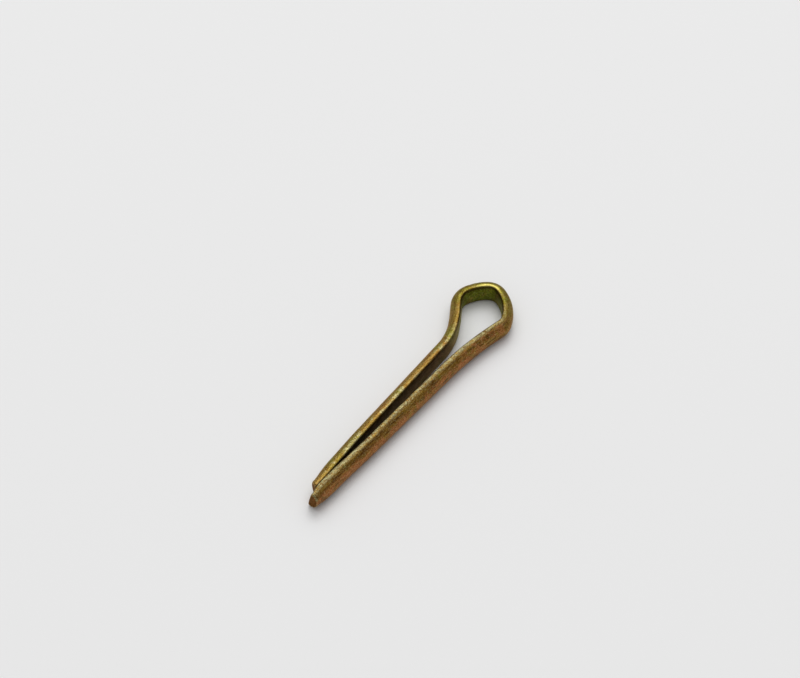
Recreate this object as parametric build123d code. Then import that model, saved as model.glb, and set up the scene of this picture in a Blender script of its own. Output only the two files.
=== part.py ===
from build123d import *
import math
import os

# Split pin (cotter pin) lying on its side, in millimetres.
# +X runs along the pin toward its eye, +Y toward the short prong, +Z up.
# One half-round wire is folded round the eye, so its two flats face each
# other and the two prongs together make one round shank.
# The path below is the line the wire's flat follows in plan.  It starts at
# the short prong's toe, goes round the eye and returns along the long prong.

# ---- wire ----------------------------------------------------------------
wire_width = 3.6            # across the flat, the shank's diameter
wire_thickness = 1.8        # flat to the top of the round back
wire_edge_radius = 0.35     # rounding along the two edges of the flat

# ---- prongs --------------------------------------------------------------
neck_distance = 34.6        # short prong's toe to the corner of the neck
long_prong_extra = 1.5      # how far the long prong passes the short one
tip_gap = 0.12              # between the flats at the short prong's toe
neck_gap = 1.9              # between the flats at the corner of the neck

# ---- prong ends ----------------------------------------------------------
toe_angle = 32.0            # slant of the short prong's cut, in degrees
ease_length = 6.2           # how far back the short prong's nose is eased
ease_radius = 17.0          # the curve of that easing, seen from above
end_break = 0.18            # broken edge round the long prong's cut

# ---- eye corners, from the neck (along the pin, across the pin) ------------
flank_along = 3.5           # where the short prong's side straightens
flank_across = 2.87
shoulder_along = 6.7        # widest point on the short prong's side
shoulder_across = 5.0
crown_along = 9.4           # top of the loop, short prong's side
crown_across = 3.35
nose_along = 10.4           # outermost point of the loop
nose_across = 1.9
heel_along = 9.15           # top of the loop, long prong's side
heel_across = -1.12
chin_along = 6.3            # where the long prong leaves the loop
chin_across = -2.35

# ---- bends, to the wire's flat ---------------------------------------------
neck_radius = 11.3          # short prong turning out at the neck
flank_radius = 19.0
shoulder_radius = 2.1
crown_radius = 6.0
nose_radius = 1.6
heel_radius = 7.6
chin_radius = 1.5
long_neck_radius = 70.0     # long prong turning out at the neck
bend_share = 0.98           # share of a straight its two bends may use

# ---- worked out from the sizes above ---------------------------------------
half_tip = tip_gap / 2
half_neck = neck_gap / 2
prong_slope = (half_neck - half_tip) / neck_distance
cutter_reach = 4 * wire_width
ease_overrun = 1.15 * ease_length


def wire_section():
    """The half-round section: flat on the Y axis, round back toward +X.

    The back's radius is the one that leaves the section wire_width across
    once the two edges of the flat are rounded.
    """
    half = wire_width / 2
    edge = wire_edge_radius
    rise = wire_thickness - edge
    spread = (half - edge) ** 2 + rise ** 2 - edge ** 2
    back_radius = spread / (2 * wire_thickness - 4 * edge)
    sharp_half = math.sqrt(wire_thickness * (2 * back_radius - wire_thickness))
    high = Vector(0, sharp_half)
    low = Vector(0, -sharp_half)
    top_of_back = Vector(wire_thickness, 0)
    outline = Line(high, low) + ThreePointArc(low, top_of_back, high)
    section = make_face(outline)
    return fillet(section.vertices(), edge)


def path_corners():
    """Corner points of the path, from the short toe to the long prong's end."""
    neck = neck_distance
    short_toe = Vector(0, half_tip)
    short_neck = Vector(neck, half_neck)
    flank = Vector(neck + flank_along, flank_across)
    shoulder = Vector(neck + shoulder_along, shoulder_across)
    crown = Vector(neck + crown_along, crown_across)
    nose = Vector(neck + nose_along, nose_across)
    heel = Vector(neck + heel_along, heel_across)
    chin = Vector(neck + chin_along, chin_across)
    long_neck = Vector(neck, -half_neck)
    long_end = Vector(-long_prong_extra, prong_slope * long_prong_extra - half_tip)
    eye = [flank, shoulder, crown, nose, heel, chin]
    return [short_toe, short_neck] + eye + [long_neck, long_end]


def turn_at(before, corner, after):
    """The angle the path turns through at a corner, in radians."""
    incoming = corner - before
    outgoing = after - corner
    return math.radians(incoming.get_angle(outgoing))


def bend_radii(corners):
    """Each bend's radius, cut down where two bends would share a straight."""
    wanted = [neck_radius, flank_radius, shoulder_radius, crown_radius]
    wanted += [nose_radius, heel_radius, chin_radius, long_neck_radius]
    last = len(corners) - 1
    turns = [turn_at(*corners[i - 1:i + 2]) for i in range(1, last)]
    tangents = [r * math.tan(t / 2) for r, t in zip(wanted, turns)]
    padded = [0.0] + tangents + [0.0]
    scales = []
    for i in range(last):
        room = bend_share * (corners[i + 1] - corners[i]).length
        scales.append(min(1.0, room / (padded[i] + padded[i + 1])))
    return [r * min(scales[i], scales[i + 1]) for i, r in enumerate(wanted)]


def folded_wire():
    """The half-round wire swept along the whole path."""
    corners = path_corners()
    path = FilletPolyline(*corners, radius=bend_radii(corners))
    heading = path % 0
    outward = Vector(-heading.Y, heading.X, 0)
    start_plane = Plane(origin=path @ 0, x_dir=outward, z_dir=heading)
    return sweep(start_plane * wire_section(), path=path)


def toe_cutter():
    """Everything past the slanted cut across the short prong's toe."""
    lean = math.radians(toe_angle)
    foot = Vector(0, half_tip)
    up = Vector(math.sin(lean), math.cos(lean)) * cutter_reach
    away = Vector(-cutter_reach, 0)
    outline = Polyline(foot, foot + up, foot + up + away, foot + away, close=True)
    return extrude(make_face(outline), amount=wire_width, both=True)


def ease_cutter():
    """The sliver outside the curve that eases the short prong's nose."""
    along = Vector(1, prong_slope).normalized()
    outward = Vector(-along.Y, along.X)
    start = Vector(0, half_tip) + along * ease_length + outward * wire_thickness
    centre = start - outward * ease_radius
    swing = math.asin(min(1.0, ease_overrun / ease_radius))

    def on_curve(angle):
        spoke = outward * math.cos(angle) - along * math.sin(angle)
        return centre + spoke * ease_radius

    finish = on_curve(swing)
    curve = ThreePointArc(start, on_curve(swing / 2), finish)
    lift = outward * wire_width
    sides = Polyline(finish, finish + lift, start + lift, start)
    return extrude(make_face(curve + sides), amount=wire_width, both=True)


def cotter_pin():
    """The finished pin: folded wire with both prong ends cut to shape."""
    pin = folded_wire() - toe_cutter() - ease_cutter()
    long_end_face = pin.faces().sort_by(Axis.X)[0]
    pin = chamfer(long_end_face.edges(), end_break)
    box = pin.bounding_box()
    middle = box.center()
    return pin.translate(Vector(-middle.X, -middle.Y, -box.min.Z))


os.makedirs("parts", exist_ok=True)
export_step(cotter_pin(), "parts/cotter_pin.step")
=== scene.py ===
"""The look of a split cotter pin: folded half-round wire in yellow chromate, lying on a pale floor."""

import math
from collections import namedtuple
from types import SimpleNamespace

import bpy
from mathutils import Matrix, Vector, noise


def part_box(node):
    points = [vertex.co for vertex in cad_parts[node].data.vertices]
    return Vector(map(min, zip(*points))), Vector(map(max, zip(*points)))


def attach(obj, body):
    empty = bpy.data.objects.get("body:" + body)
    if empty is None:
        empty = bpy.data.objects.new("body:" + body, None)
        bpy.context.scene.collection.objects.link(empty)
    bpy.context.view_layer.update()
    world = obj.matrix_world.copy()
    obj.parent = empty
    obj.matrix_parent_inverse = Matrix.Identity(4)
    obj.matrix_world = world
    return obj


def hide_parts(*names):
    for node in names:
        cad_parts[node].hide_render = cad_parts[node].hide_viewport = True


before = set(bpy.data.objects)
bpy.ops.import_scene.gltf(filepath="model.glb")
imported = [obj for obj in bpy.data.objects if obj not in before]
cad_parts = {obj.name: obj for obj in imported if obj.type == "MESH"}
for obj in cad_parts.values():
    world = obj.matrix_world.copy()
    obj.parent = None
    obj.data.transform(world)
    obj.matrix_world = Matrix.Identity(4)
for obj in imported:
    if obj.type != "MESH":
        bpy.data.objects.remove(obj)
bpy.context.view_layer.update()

MM = 0.001
NODE = "cotter_pin"
low, high = (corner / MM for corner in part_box(NODE))

# ---- the wire, in millimetres, along the CAD's path ------------------------------
LONG_EXTRA = 1.5                    # how far the long prong passes the short one
TOE_X = low.x + LONG_EXTRA          # the short prong's toe
AXIS_Y = -1.2                       # the shank's axis, from the middle of the box
HALF_WIDTH = (high.z - low.z) / 2
THICKNESS = HALF_WIDTH
NECK = 34.6                         # toe to the corner of the neck
HALF_TIP = 0.04                     # half the gap between the prongs at the toe
HALF_NECK = 0.86                    # and at the neck, a little less than in the CAD
SLOPE = (HALF_NECK - HALF_TIP) / NECK
BENDS = (                           # (along from the neck, across), bend radius
    ((0.0, HALF_NECK), 11.3),
    ((3.5, 2.87), 19.0),
    ((6.7, 5.0), 2.1),
    ((9.4, 3.35), 6.0),
    ((10.4, 1.9), 1.6),
    ((9.15, -1.12), 7.6),
    ((6.3, -2.35), 1.5),
    ((0.0, -HALF_NECK), 70.0),
)
CROWN_BEND = 4                      # the crown's bend, counted from the toe
BEND_SHARE = 0.98                   # share of a straight its two bends may use
PINCHED_HALF_GAP = 0.004            # the tips are squeezed almost shut
PINCH_FADE = (2.0, 11.0)            # where that eases off, from the short toe

# ---- how finely the wire is meshed -----------------------------------------------
RING_POINTS = 84
RING_STEP = 0.17
END_RING_STEP = 0.05
END_ZONE = 1.6                      # length at each end with the close rings
OUTLINE_SAMPLES = 720
BEVEL_RINGS = 4
CAP_RINGS = 7

# ---- the section, as (outward from the flat, up) ---------------------------------
SPLIT = 0.40                        # where the flat's rounded edges meet the back
FLAT_POWER = 4.0                    # how square the flat's edges are on the prongs
TIP_POWER = 9.0                     # squarer still at the tips, which touch
TIP_SHARP = (2.5, 8.0)              # where that fades, from the short toe
TIP_SHARP_PAST = (0.2, LONG_EXTRA)  # and on the long prong past the toe
EYE_POWER = 2.6                     # rounder in the eye, where bending crowns the flat
BACK_POWER = 2.05
SECTION_MIDDLE = THICKNESS * 0.42   # what the cut faces close on and the tip twists about

# ---- the two ends ----------------------------------------------------------------
TOE_LEAN = math.radians(29)         # slant of the short prong's cut
TOE_FADE = 4.0                      # length over which the slant dies out
TOE_EASE_LENGTH = 6.6
TOE_EASE = 0.253                    # share of the thickness the toe loses
TOE_NARROWING = 0.10                # share of the width it loses
TIP_TWIST = math.radians(-13)       # the long prong's end is sheared with a twist
TIP_TWIST_LENGTH = 2.4
TIP_EASE = 0.13                     # share of the thickness the long end loses
TIP_EASE_LENGTH = 4.5
END_BEVEL = 0.26                    # the broken edge round each cut face
BEVEL_INSET = END_BEVEL / THICKNESS

# ---- the uneven surface ----------------------------------------------------------
SWELL = 0.012                       # slow unevenness
SWELL_SCALE = 0.55
FINE_SWELL = 0.5                    # the finer swells' share of the slow ones
FINE_SWELL_SCALE = 1.9
FINE_SWELL_SHIFT = Vector((7, 3, 1))
NICK = 0.022                        # small nicks left by the plating barrel
NICK_SCALE = 1.35
NICK_SHIFT = Vector((31, 11, 5))
NICK_SPAN = (0.42, 0.70)            # how high the noise is where a nick starts and bottoms
DRAWN_STRETCH = 0.12                # the drawn lines' width against their length


def rise(span, value):
    """0 before the span, 1 past it, and a smooth step between."""
    start, end = span
    t = min(1.0, max(0.0, (value - start) / (end - start)))
    return t * t * (3 - 2 * t)


def fall(span, value):
    """1 before the span and 0 past it."""
    return 1 - rise(span, value)


def mixed(a, b, share):
    return a + (b - a) * share


# ---- the path ----------------------------------------------------------------------

Piece = namedtuple("Piece", "start heading length curvature")


def path_corners():
    """The corners of the flat's path in plan, from the toe round the eye to the long end."""
    toe = Vector((0.0, HALF_TIP))
    eye = [Vector((NECK + along, across)) for (along, across), radius in BENDS]
    end_x = -LONG_EXTRA
    end = Vector((end_x, -HALF_TIP - SLOPE * end_x))
    return [toe] + eye + [end]


def bend_tangents(lines, turns):
    """How far from its corner each bend starts: what its radius needs, or all the room there is."""
    wanted = [radius * math.tan(abs(turn) / 2) for (_, radius), turn in zip(BENDS, turns)]
    padded = [0.0] + wanted + [0.0]
    scales = [
        min(1.0, BEND_SHARE * line.length / (a + b))
        for line, a, b in zip(lines, padded, padded[1:])
    ]
    return [w * min(a, b) for w, a, b in zip(wanted, scales, scales[1:])]


def path_pieces():
    """The path as straights and arcs, in order from the short toe."""
    corners = path_corners()
    lines = [b - a for a, b in zip(corners, corners[1:])]
    headings = [math.atan2(line.y, line.x) for line in lines]
    turns = [math.remainder(b - a, math.tau) for a, b in zip(headings, headings[1:])]
    tangents = bend_tangents(lines, turns)
    pieces = []
    point = corners[0]
    for i, turn in enumerate(turns):
        direction = lines[i].normalized()
        arc_start = corners[i + 1] - direction * tangents[i]
        pieces.append(Piece(point, headings[i], (arc_start - point).length, 0.0))
        radius = tangents[i] / math.tan(abs(turn) / 2)
        curvature = math.copysign(1 / radius, turn)
        pieces.append(Piece(arc_start, headings[i], radius * abs(turn), curvature))
        point = corners[i + 1] + lines[i + 1].normalized() * tangents[i]
    pieces.append(Piece(point, headings[-1], (corners[-1] - point).length, 0.0))
    return pieces


PIECES = path_pieces()
LENGTH = sum(piece.length for piece in PIECES)


def path_at(distance):
    """Plan position and heading at a distance along the path, past its ends too."""
    left = distance
    for start, heading, length, curvature in PIECES[:-1]:
        if left <= length:
            break
        left -= length
    else:
        start, heading, length, curvature = PIECES[-1]
    if curvature == 0.0:
        return start + Vector((math.cos(heading), math.sin(heading))) * left, heading
    turned = heading + curvature * left
    dx = (math.sin(turned) - math.sin(heading)) / curvature
    dy = (math.cos(heading) - math.cos(turned)) / curvature
    return start + Vector((dx, dy)), turned


# Along the path: where the first bend starts, the crown's bend ends and the last bend ends.
EYE_START = PIECES[0].length
CROWN_END = sum(piece.length for piece in PIECES[:2 * CROWN_BEND])
EYE_END = LENGTH - PIECES[-1].length
EYE_RISE = (EYE_START - 1, EYE_START + 6)
EYE_FALL = (EYE_END - 10, EYE_END - 3)


def eye_share(distance):
    """1 in the eye, 0 on the prongs."""
    return rise(EYE_RISE, distance) * fall(EYE_FALL, distance)


def toe_distance(distance):
    """How far along the shank a place on either prong is from the short toe."""
    return min(distance, LENGTH - LONG_EXTRA - distance)


def pinch(distance):
    """How far a prong leans in towards the other one near its tip."""
    from_toe = toe_distance(distance)
    open_half = HALF_TIP + SLOPE * max(0.0, from_toe)
    return (open_half - PINCHED_HALF_GAP) * fall(PINCH_FADE, from_toe)


# ---- the section -------------------------------------------------------------------

def dense_outline(flat_power):
    """The half-round section as closely spaced points, back first."""
    points = []
    for i in range(OUTLINE_SAMPLES):
        angle = math.tau * i / OUTLINE_SAMPLES
        c, s = math.cos(angle), math.sin(angle)
        reach, power = (THICKNESS - SPLIT, BACK_POWER) if c > 0 else (SPLIT, flat_power)
        size = (abs(c) / reach) ** power + (abs(s) / HALF_WIDTH) ** power
        radius = size ** (-1 / power)
        points.append(Vector((SPLIT + radius * c, radius * s)))
    return points


def outline(flat_power):
    """The same section as RING_POINTS evenly spaced points."""
    dense = dense_outline(flat_power)
    gaps = [(b - a).length for a, b in zip(dense, dense[1:] + dense[:1])]
    spacing = sum(gaps) / RING_POINTS
    points, walked, target = [], 0.0, 0.0
    for i, gap in enumerate(gaps):
        while target <= walked + gap and len(points) < RING_POINTS:
            share = (target - walked) / gap
            points.append(dense[i].lerp(dense[(i + 1) % OUTLINE_SAMPLES], share))
            target += spacing
        walked += gap
    return points


PRONG_OUTLINE = outline(FLAT_POWER)
TIP_OUTLINE = outline(TIP_POWER)
EYE_OUTLINE = outline(EYE_POWER)


def section_at(distance):
    """The section's points at a distance along the path, before the ends are shaped."""
    from_toe = toe_distance(distance)
    tip = fall(TIP_SHARP, from_toe) * fall(TIP_SHARP_PAST, -from_toe)
    if tip > 0:
        return [a.lerp(b, tip) for a, b in zip(PRONG_OUTLINE, TIP_OUTLINE)]
    share = eye_share(distance)
    return [a.lerp(b, share) for a, b in zip(PRONG_OUTLINE, EYE_OUTLINE)]


def place(distance, point, inset=0.0, overhang=0.0):
    """Where a section point lies in space, with the ends' slant, easing and twist."""
    outward = mixed(point.x, SECTION_MIDDLE, inset)
    up = point.y * (1 - inset)

    at_toe = fall((0, TOE_EASE_LENGTH), distance) ** 2
    outward *= 1 - TOE_EASE * at_toe
    up *= 1 - TOE_NARROWING * at_toe
    slant = math.tan(TOE_LEAN) * max(0.0, 1 - distance / TOE_FADE)
    along = distance + slant * outward + overhang

    from_end = LENGTH - distance
    outward *= 1 - TIP_EASE * fall((0, TIP_EASE_LENGTH), from_end)
    twist = TIP_TWIST * fall((0, TIP_TWIST_LENGTH), from_end)
    off_middle = outward - SECTION_MIDDLE
    across = SECTION_MIDDLE + off_middle * math.cos(twist) - up * math.sin(twist)
    height = off_middle * math.sin(twist) + up * math.cos(twist)

    ground, heading = path_at(along)
    side = Vector((-math.sin(heading), math.cos(heading))) * (across - pinch(distance))
    x = TOE_X + ground.x + side.x
    y = AXIS_Y + ground.y + side.y
    return Vector((x, y, HALF_WIDTH + height))


# ---- the rings of the skin ---------------------------------------------------------

Ring = namedtuple("Ring", "distance section points cut rim")
RIM_WEAR = 0.9                      # how worn the broken edge of a cut end is


def ring(distance, inset=0.0, overhang=0.0, cut=0.0, rim=0.0):
    """One ring of points, with how far it shows a cut face or the rim of one."""
    section = section_at(distance)
    points = [place(distance, p, inset, overhang) for p in section]
    return Ring(distance, section, points, cut, rim)


def ring_distances():
    """Ring places along the path: close together at both ends, even between."""
    near = [END_RING_STEP * i for i in range(int(END_ZONE / END_RING_STEP))]
    middle_length = LENGTH - 2 * END_ZONE
    count = int(middle_length / RING_STEP)
    middle = [END_ZONE + middle_length * i / count for i in range(count)]
    far = [LENGTH - END_ZONE + d for d in near] + [LENGTH]
    return near + middle + far


def drawn_in(distance):
    """How far a ring near an end moves along the path, to make room for the broken edge."""
    at_toe = fall((0, END_ZONE), distance)
    at_end = rise((LENGTH - END_ZONE, LENGTH), distance)
    return END_BEVEL * (at_toe - at_end)


def cap_rings(distance, sign):
    """Rings that break the edge of a cut end and fill its face."""
    rings = []
    for k in range(1, BEVEL_RINGS + 1):
        angle = math.pi / 2 * k / BEVEL_RINGS
        inset = BEVEL_INSET * (1 - math.cos(angle))
        overhang = sign * END_BEVEL * (math.sin(angle) - 1)
        rings.append(ring(distance, inset, overhang, rim=RIM_WEAR))
    for k in range(1, CAP_RINGS):
        inset = mixed(BEVEL_INSET, 1.0, k / CAP_RINGS)
        rings.append(ring(distance, inset, cut=1.0))
    return rings


def wire_rings():
    """Every ring, from the middle of one cut face to the middle of the other."""
    body = [ring(d, overhang=drawn_in(d)) for d in ring_distances()]
    return cap_rings(0.0, -1)[::-1] + body + cap_rings(LENGTH, 1)


def roughened(point, normal):
    """A surface point moved by slow swells and a few small nicks."""
    swell = noise.noise(point * SWELL_SCALE)
    swell += FINE_SWELL * noise.noise(point * FINE_SWELL_SCALE + FINE_SWELL_SHIFT)
    nick = rise(NICK_SPAN, noise.noise(point * NICK_SCALE + NICK_SHIFT))
    return point + normal * (SWELL * swell - NICK * nick)


# ---- where each tint of the plating lies -------------------------------------------
# In millimetres: heights from the wire's middle, reaches outward from its flat, and
# places along its path.

INNER_REACH = (0.04, SPLIT * 0.6)
INNER_HEIGHT = (1.5, 1.75)
WORN_HEIGHT = (1.36, 1.68)
WORN_REACH = (SPLIT * 1.2, SPLIT * 2.8)
EYE_SPARES_WEAR = 0.75              # the eye's gold side is this much less worn
BROWN_SPAN = (41.0, 47.0)           # from the long end: brown before it, gold past it
BROWN_HIDES_OLIVE = 0.9
OUTER_OLIVE_SPAN = (EYE_START + 5, CROWN_END - 1)
OUTER_OLIVE = (0.20, 0.80)          # olive's share round the eye's outside, before and past it
TOE_OLIVE = 0.40                    # a yellow-green patch a little up from the toe
TOE_OLIVE_RISE = (0.5, 5.0)
TOE_OLIVE_FALL = (8.0, 16.0)
HIGHLIGHT_FALL = (0.27, 2.7)           # how far the painted highlight runs to each side of CROWN_END
HIGHLIGHT_HEIGHT = (1.60, 1.78)
HIGHLIGHT_REACH = (0.45, 0.75)
LINE_RISE = (1.22, 1.40)            # the painted shade line's height on the eye's inner edge
LINE_FALL = (1.66, 1.77)
LINE_REACH = (0.16, 0.40)
LOWER_BACK = (0.6, 1.66)            # heights between which the reddish tint fades
CHIN_FROM_END = 39.0                # the bend where the eye meets the near prong's flank
CHIN_FALL = (2.5, 7.5)
CHIN_HEIGHT = (1.60, 1.76)
OPEN_SPAN = (2.0, 9.0)              # from the toe: where the prongs part far enough for painted shade on the flats between them


def inner_face(point):
    """1 on the flat between the prongs, fading over its rounded edges."""
    return fall(INNER_REACH, point.x) * fall(INNER_HEIGHT, abs(point.y))


def brown_share(distance):
    """1 on the long prong and the near side of the eye, 0 on the gold rest."""
    return fall(BROWN_SPAN, LENGTH - distance)


def olive_share(distance, point):
    """How olive the plating is: most inside the eye, less round its outside, some by the toe."""
    outside = mixed(*OUTER_OLIVE, rise(OUTER_OLIVE_SPAN, distance))
    outside *= 1 - BROWN_HIDES_OLIVE * brown_share(distance)
    in_eye = eye_share(distance) * mixed(outside, 1.0, inner_face(point))
    by_toe = TOE_OLIVE * rise(TOE_OLIVE_RISE, distance) * fall(TOE_OLIVE_FALL, distance)
    return max(by_toe, in_eye)


def worn_edge(distance, point):
    """1 along the wire's upper and lower edges, less on the eye's gold side."""
    edge = rise(WORN_HEIGHT, abs(point.y)) * fall(WORN_REACH, point.x)
    spared = eye_share(distance) * (1 - brown_share(distance))
    return edge * (1 - EYE_SPARES_WEAR * spared)


def painted_highlight(distance, point):
    """1 on the crown's top edge, where a highlight is painted into the plating's colour."""
    top_line = rise(HIGHLIGHT_HEIGHT, point.y) * fall(HIGHLIGHT_REACH, point.x)
    return fall(HIGHLIGHT_FALL, abs(distance - CROWN_END)) * top_line


def reddened(distance, point):
    """1 where the plating turns reddish: the wire's lower back, and all its back by the chin."""
    lower_back = fall(LOWER_BACK, point.y)
    from_chin = abs(LENGTH - distance - CHIN_FROM_END)
    by_chin = fall(CHIN_FALL, from_chin) * fall(CHIN_HEIGHT, point.y)
    return max(lower_back, by_chin)


def painted_shade(distance, point):
    """1 where shade is painted into the plating: dark on the flats between the prongs and a line round
    inside the eye.
    """
    eye = eye_share(distance)
    # painted shade on the flats between the prongs, where they stand open
    flats = inner_face(point) * (1 - eye) * rise(OPEN_SPAN, toe_distance(distance))
    # painted shade: a dark line round the eye's inner top edge
    line = rise(LINE_RISE, point.y) * fall(LINE_FALL, point.y) * fall(LINE_REACH, point.x)
    return max(flats, line * eye)


def marks(distance, point, cut, rim):
    """What the material reads at one point of the mesh."""
    worn = max(rim, worn_edge(distance, point) * (1 - cut))
    return {
        "plating_tint": (olive_share(distance, point), brown_share(distance), worn, cut),
        "drawn_grain": (point.x, point.y, distance * DRAWN_STRETCH),
        "reddened": (reddened(distance, point),),
        "painted_shade": (painted_shade(distance, point),),
        "highlight_share": (painted_highlight(distance, point),),
        "inner_face": (inner_face(point),),
    }


# ---- the mesh ----------------------------------------------------------------------

ATTRIBUTE_KINDS = {1: ("FLOAT", "value"), 3: ("FLOAT_VECTOR", "vector"), 4: ("FLOAT_COLOR", "color")}


def skin_faces(ring_count):
    """Quads from ring to ring, and a fan of triangles that closes each cut face."""
    faces = []
    for r in range(ring_count - 1):
        a, b = r * RING_POINTS, (r + 1) * RING_POINTS
        for i in range(RING_POINTS):
            j = (i + 1) % RING_POINTS
            faces.append((a + i, a + j, b + j, b + i))
    toe_centre = ring_count * RING_POINTS
    end_centre = toe_centre + 1
    last = toe_centre - RING_POINTS
    for i in range(RING_POINTS):
        j = (i + 1) % RING_POINTS
        faces.append((toe_centre, j, i))
        faces.append((end_centre, last + i, last + j))
    return faces


def roughen(mesh, points):
    """Moves the smooth skin to its uneven surface, kept between the floor and the wire's top."""
    normals = [vertex.normal.copy() for vertex in mesh.vertices]
    for vertex, point, normal in zip(mesh.vertices, points, normals):
        moved = roughened(point, normal)
        moved.z = max(0.0, min(2 * HALF_WIDTH, moved.z))
        vertex.co = moved * MM


def mark(mesh, rings):
    """Writes every point's marks as attributes of the mesh."""
    rows = [marks(r.distance, p, r.cut, r.rim) for r in rings for p in r.section]
    rows += [marks(r.distance, Vector((0, 0)), r.cut, r.rim) for r in (rings[0], rings[-1])]
    for name, first in rows[0].items():
        kind, field = ATTRIBUTE_KINDS[len(first)]
        values = [number for row in rows for number in row[name]]
        mesh.attributes.new(name, kind, "POINT").data.foreach_set(field, values)


def build_wire():
    """The wire as one closed mesh, with the attributes its material reads."""
    rings = wire_rings()
    points = [p for r in rings for p in r.points]
    points += [sum(r.points, Vector()) / RING_POINTS for r in (rings[0], rings[-1])]
    mesh = bpy.data.meshes.new("pin_wire")
    mesh.from_pydata([p * MM for p in points], [], skin_faces(len(rings)))
    mesh.update()
    roughen(mesh, points)
    mark(mesh, rings)
    mesh.polygons.foreach_set("use_smooth", [True] * len(mesh.polygons))
    mesh.update()
    wire = bpy.data.objects.new("pin_wire", mesh)
    bpy.context.scene.collection.objects.link(wire)
    return wire


# ---- materials ---------------------------------------------------------------------

def srgb(red, green, blue):
    """A display colour, 0 to 255, as linear RGBA."""
    def linear(value):
        c = value / 255
        return c / 12.92 if c <= 0.04045 else ((c + 0.055) / 1.055) ** 2.4
    return (linear(red), linear(green), linear(blue), 1.0)


class Nodes:
    """A short way to add and join shader nodes."""

    def __init__(self, name):
        self.material = bpy.data.materials.new(name)
        self.material.use_nodes = True
        self.tree = self.material.node_tree
        self.shader = self.tree.nodes["Principled BSDF"]

    def feed(self, socket, value):
        if isinstance(value, bpy.types.NodeSocket):
            self.tree.links.new(value, socket)
        else:
            socket.default_value = value

    def add(self, kind, inputs=None, settings=None):
        node = self.tree.nodes.new(kind)
        for key, value in (settings or {}).items():
            setattr(node, key, value)
        for key, value in (inputs or {}).items():
            self.feed(node.inputs[key], value)
        return node

    def attribute(self, name, output="Fac"):
        return self.add("ShaderNodeAttribute", settings={"attribute_name": name}).outputs[output]

    def noise(self, place, scale, detail, rough, warp=0.0):
        inputs = {
            "Vector": place,
            "Scale": scale,
            "Detail": detail,
            "Roughness": rough,
            "Distortion": warp,
        }
        return self.add("ShaderNodeTexNoise", inputs).outputs["Fac"]

    def math(self, operation, a, b):
        return self.add("ShaderNodeMath", {0: a, 1: b}, {"operation": operation}).outputs["Value"]

    def times(self, a, b):
        return self.math("MULTIPLY", a, b)

    def wash(self, pattern, start, full, most=1.0):
        """How much of a tint a pattern lets through: 0 at start, the most at full."""
        settings = {"interpolation_type": "SMOOTHSTEP"}
        inputs = {"Value": pattern, "From Min": start, "From Max": full}
        share = self.add("ShaderNodeMapRange", inputs, settings).outputs["Result"]
        return share if most == 1.0 else self.times(share, most)

    def mix(self, share, a, b):
        """A blend of two colours; the node's colour sockets come after its plain and vector ones."""
        inputs = {0: share, 6: a, 7: b}
        settings = {"data_type": "RGBA", "clamp_factor": True}
        return self.add("ShaderNodeMix", inputs, settings).outputs[2]


GOLD = srgb(156, 126, 58)
AMBER = srgb(140, 100, 46)
STRAW = srgb(176, 168, 122)
GREYED = srgb(142, 140, 104)
# painted highlight: a bright yellow for the crown's top edge
HIGHLIGHT_COLOUR = srgb(226, 210, 120)
OLIVE = srgb(122, 136, 16)
DEEP_OLIVE = srgb(82, 96, 6)
EYE_BROWN = srgb(122, 98, 30)
BROWN = srgb(144, 110, 40)
UMBER = srgb(86, 54, 16)
ROSE = srgb(175, 111, 67)
CUT = srgb(128, 82, 36)
# painted shade: a dark brown for the flats between the prongs and the line inside the eye
SHADE_COLOUR = srgb(56, 34, 6)
GLANCING = srgb(255, 241, 222)      # the plating stays warm where it is seen edge on
PALE_FLOOR = srgb(231, 231, 231)

# Noises: cells in a millimetre, detail, roughness, and how far they are warped.
CLOUDS = (0.42, 3.0, 0.6, 0.6)
PATCHES = (0.8, 4.0, 0.62, 0.4)
MOTTLE = (2.4, 4.0, 0.68)
SPECKLE = (5.5, 3.0, 0.7)
STREAKS = (3.2, 4.0, 0.62, 0.3)
DRAWN_LINES = (8.0, 3.0, 0.6)

# Washes: the noise's value where a tint starts and is full, and the most it covers.
AMBER_STREAKS = (0.40, 0.62)
OLIVE_ON_GOLD = (0.50, 0.70, 0.6)
UMBER_STREAKS = (0.36, 0.64)
ROSE_PATCHES = (0.36, 0.58, 0.85)
OLIVE_ON_BROWN = (0.58, 0.74, 0.4)
DEEP_MOTTLE = (0.35, 0.65)
BROWN_RIM = (0.36, 0.56, 0.7)
OLIVE_PATCHES = (0.2, 0.5)
WORN_MOTTLE = (0.36, 0.58, 0.88)
WORN_CLOUDS = (0.47, 0.58)
DARK_SPECKS = (0.51, 0.61, 0.80)
PALE_SPECKS = (0.46, 0.36, 0.45)
PALE_LINES = (0.58, 0.72, 0.30)
DARK_LINES = (0.44, 0.30, 0.45)
CUT_SPECKS = (0.42, 0.58)
# shares of the painted highlight and of the painted shade
HIGHLIGHT_MOST = 0.75
SHADE_MOST = 0.7

ROUGHNESS = (0.38, 0.55)
ROUGHNESS_NOISE = (0.3, 0.7)        # the patches' values at those two
CUT_ROUGHER = 0.2
BUMP_STRENGTH = 0.7
BUMP_HEIGHT = 0.11                  # in millimetres
LINE_BUMP = 0.5
SPECKLE_BUMP = 0.45
MOTTLE_BUMP = 0.6
FLOOR_ROUGHNESS = 0.9
FLOOR_GLOSS = 0.1


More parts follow.
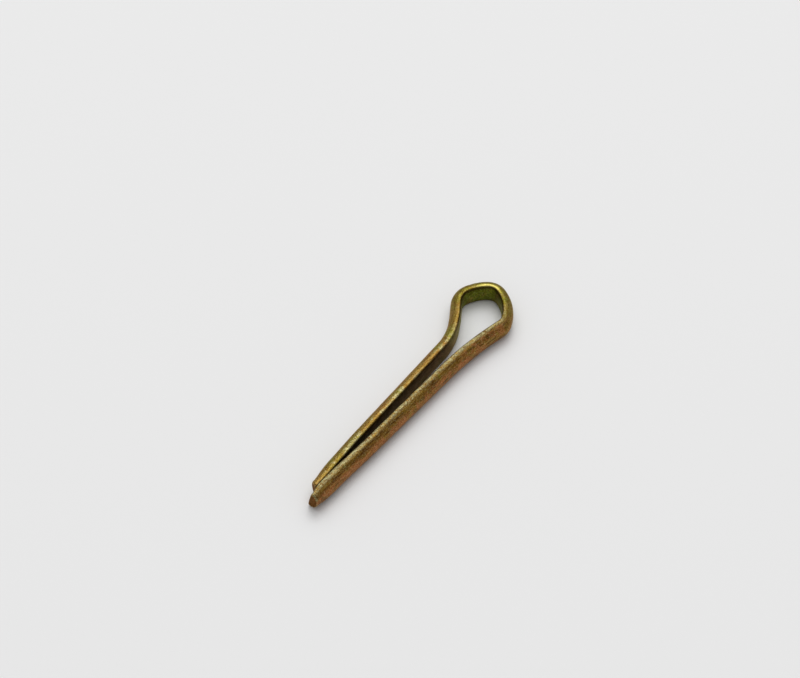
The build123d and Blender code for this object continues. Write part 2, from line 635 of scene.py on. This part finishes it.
def plating_patterns(n):
    """The mesh's marks and the noises that the plating is made of."""
    spot = n.add("ShaderNodeTexCoord").outputs["Object"]
    scaling = {0: spot, "Scale": 1 / MM}
    place = n.add("ShaderNodeVectorMath", scaling, {"operation": "SCALE"}).outputs["Vector"]
    grain = n.attribute("drawn_grain", "Vector")
    tint = n.add("ShaderNodeAttribute", settings={"attribute_name": "plating_tint"})
    parts = n.add("ShaderNodeSeparateColor", {"Color": tint.outputs["Color"]}).outputs
    return SimpleNamespace(
        olive=parts[0],
        brown=parts[1],
        worn=parts[2],
        cut=tint.outputs["Alpha"],
        reddened=n.attribute("reddened"),
        # the painted shade and painted highlight masks
        painted_shade=n.attribute("painted_shade"),
        highlight_share=n.attribute("highlight_share"),
        inner=n.attribute("inner_face"),
        clouds=n.noise(place, *CLOUDS),
        patches=n.noise(place, *PATCHES),
        mottle=n.noise(place, *MOTTLE),
        speckle=n.noise(place, *SPECKLE),
        streaks=n.noise(grain, *STREAKS),
        lines=n.noise(grain, *DRAWN_LINES),
    )


def gold_plating(n, at):
    """Gold with amber streaks and a few olive clouds: the short prong and most of the eye."""
    colour = n.mix(n.wash(at.streaks, *AMBER_STREAKS), GOLD, AMBER)
    return n.mix(n.wash(at.clouds, *OLIVE_ON_GOLD), colour, OLIVE)


def brown_plating(n, at):
    """Brown with umber streaks and reddish patches: the long prong and the eye's near side."""
    colour = n.mix(n.wash(at.streaks, *UMBER_STREAKS), BROWN, UMBER)
    rosy = n.times(at.reddened, n.wash(at.patches, *ROSE_PATCHES))
    colour = n.mix(rosy, colour, ROSE)
    return n.mix(n.wash(at.clouds, *OLIVE_ON_BROWN), colour, OLIVE)


def olive_plating(n, at):
    """Mottled olive, browned in clouds on the rim but not on the inner wall."""
    colour = n.mix(n.wash(at.mottle, *DEEP_MOTTLE), OLIVE, DEEP_OLIVE)
    off_inner = n.math("SUBTRACT", 1.0, at.inner)
    return n.mix(n.times(n.wash(at.clouds, *BROWN_RIM), off_inner), colour, EYE_BROWN)


def with_wear(n, at, colour):
    """The plating with its edges worn pale: all along the brown part, in patches on the gold."""
    patchy = n.math("MAXIMUM", at.brown, n.wash(at.clouds, *WORN_CLOUDS))
    worn = n.times(n.times(at.worn, n.wash(at.mottle, *WORN_MOTTLE)), patchy)
    return n.mix(worn, colour, n.mix(at.brown, STRAW, GREYED))


def with_grain(n, at, colour):
    """The plating with its specks and the lines left by drawing the wire."""
    colour = n.mix(n.wash(at.speckle, *DARK_SPECKS), colour, UMBER)
    colour = n.mix(n.wash(at.speckle, *PALE_SPECKS), colour, STRAW)
    colour = n.mix(n.wash(at.lines, *PALE_LINES), colour, STRAW)
    return n.mix(n.wash(at.lines, *DARK_LINES), colour, UMBER)


def plating_colour(n, at):
    """The whole colour: the three platings, then wear, grain, a painted highlight, painted shade and
    cut faces.
    """
    colour = n.mix(at.brown, gold_plating(n, at), brown_plating(n, at))
    olive = n.times(at.olive, n.wash(at.patches, *OLIVE_PATCHES))
    colour = n.mix(olive, colour, olive_plating(n, at))
    colour = with_grain(n, at, with_wear(n, at, colour))
    # a painted highlight on the crown's top edge
    colour = n.mix(n.times(at.highlight_share, HIGHLIGHT_MOST), colour, HIGHLIGHT_COLOUR)
    # painted shade between the prongs and round inside the eye
    colour = n.mix(n.times(at.painted_shade, SHADE_MOST), colour, SHADE_COLOUR)
    cut_face = n.mix(n.wash(at.speckle, *CUT_SPECKS), CUT, UMBER)
    return n.mix(at.cut, colour, cut_face)


def plating_roughness(n, at):
    """Patchily dull, and duller on the cut faces."""
    limits = {
        "Value": at.patches,
        "From Min": ROUGHNESS_NOISE[0],
        "From Max": ROUGHNESS_NOISE[1],
        "To Min": ROUGHNESS[0],
        "To Max": ROUGHNESS[1],
    }
    dull = n.add("ShaderNodeMapRange", limits).outputs["Result"]
    return n.math("ADD", dull, n.times(at.cut, CUT_ROUGHER))


def plating_bump(n, at):
    """Drawn lines, speckle and mottle as relief."""
    fine = n.math("ADD", n.times(at.lines, LINE_BUMP), n.times(at.speckle, SPECKLE_BUMP))
    height = n.math("ADD", fine, n.times(at.mottle, MOTTLE_BUMP))
    bump = {"Strength": BUMP_STRENGTH, "Distance": BUMP_HEIGHT * MM, "Height": height}
    return n.add("ShaderNodeBump", bump).outputs["Normal"]


def plating_material():
    """Yellow chromate over zinc: gold, olive and brown patches with drawn lines and wear."""
    n = Nodes("yellow_chromate")
    at = plating_patterns(n)
    n.feed(n.shader.inputs["Base Color"], plating_colour(n, at))
    n.feed(n.shader.inputs["Roughness"], plating_roughness(n, at))
    n.feed(n.shader.inputs["Normal"], plating_bump(n, at))
    n.feed(n.shader.inputs["Metallic"], 1.0)
    n.feed(n.shader.inputs["Specular Tint"], GLANCING)
    return n.material


def floor_material():
    """A plain pale matt surface."""
    n = Nodes("pale_floor")
    n.feed(n.shader.inputs["Base Color"], PALE_FLOOR)
    n.feed(n.shader.inputs["Roughness"], FLOOR_ROUGHNESS)
    n.feed(n.shader.inputs["Specular IOR Level"], FLOOR_GLOSS)
    return n.material


# ---- stage, in metres --------------------------------------------------------------

FLOOR_HALF = 0.9
FLOOR_DROP = 0.00002                # the floor lies this far under the wire
VIEW_TURN = math.radians(51.5)      # from the camera's right to the pin's +X
VIEW_RISE = math.radians(53)
VIEW_DISTANCE = 0.3807
SENSOR = 36.0
LENS = 112.5
CLIP_START = 0.01
AIM = Vector((7.87, 7.46, 0.0)) * MM
SKY = (1.0, 1.0, 1.0, 1.0)
SKY_STRENGTH = 0.42
LAMPS = (                           # name, (right, away, up) of the pin, size, watts
    ("soft_lamp", (0.0, 0.8, 1.9), 2.8, 28.0),
    ("key_lamp", (0.1, 1.0, 2.0), 1.1, 10.0),
)

RIGHT = Vector((math.cos(VIEW_TURN), -math.sin(VIEW_TURN), 0.0))
AWAY = Vector((math.sin(VIEW_TURN), math.cos(VIEW_TURN), 0.0))
UP = Vector((0.0, 0.0, 1.0))


def pointed(name, data, place, target):
    """A camera or lamp at a place, facing a target."""
    obj = bpy.data.objects.new(name, data)
    obj.location = place
    obj.rotation_euler = (target - place).to_track_quat("-Z", "Y").to_euler()
    bpy.context.scene.collection.objects.link(obj)
    return obj


def add_camera():
    """The photo's view."""
    camera = bpy.data.cameras.new("camera")
    camera.sensor_width = SENSOR
    camera.lens = LENS
    camera.clip_start = CLIP_START
    back = UP * math.sin(VIEW_RISE) - AWAY * math.cos(VIEW_RISE)
    bpy.context.scene.camera = pointed("camera", camera, AIM + back * VIEW_DISTANCE, AIM)


def add_lamp(name, place, size, power):
    """A soft round lamp that faces the pin."""
    lamp = bpy.data.lights.new(name, "AREA")
    lamp.shape = "DISK"
    lamp.size = size
    lamp.energy = power
    right, away, up = place
    pointed(name, lamp, RIGHT * right + AWAY * away + UP * up, Vector())


def add_floor():
    """The plain floor, which keeps the pin's shadow."""
    mesh = bpy.data.meshes.new("floor")
    h, z = FLOOR_HALF, -FLOOR_DROP
    mesh.from_pydata([(-h, -h, z), (h, -h, z), (h, h, z), (-h, h, z)], [], [(0, 1, 2, 3)])
    mesh.materials.append(floor_material())
    floor = bpy.data.objects.new("floor", mesh)
    bpy.context.scene.collection.objects.link(floor)


def add_light():
    """An even studio sky and two lamps behind the pin."""
    world = bpy.data.worlds.new("studio")
    world.use_nodes = True
    sky = world.node_tree.nodes["Background"]
    sky.inputs["Color"].default_value = SKY
    sky.inputs["Strength"].default_value = SKY_STRENGTH
    bpy.context.scene.world = world
    for lamp in LAMPS:
        add_lamp(*lamp)


wire = build_wire()
wire.data.materials.append(plating_material())
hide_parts(NODE)
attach(wire, "root")

add_floor()
add_light()
add_camera()
bpy.context.scene.view_settings.view_transform = "Standard"
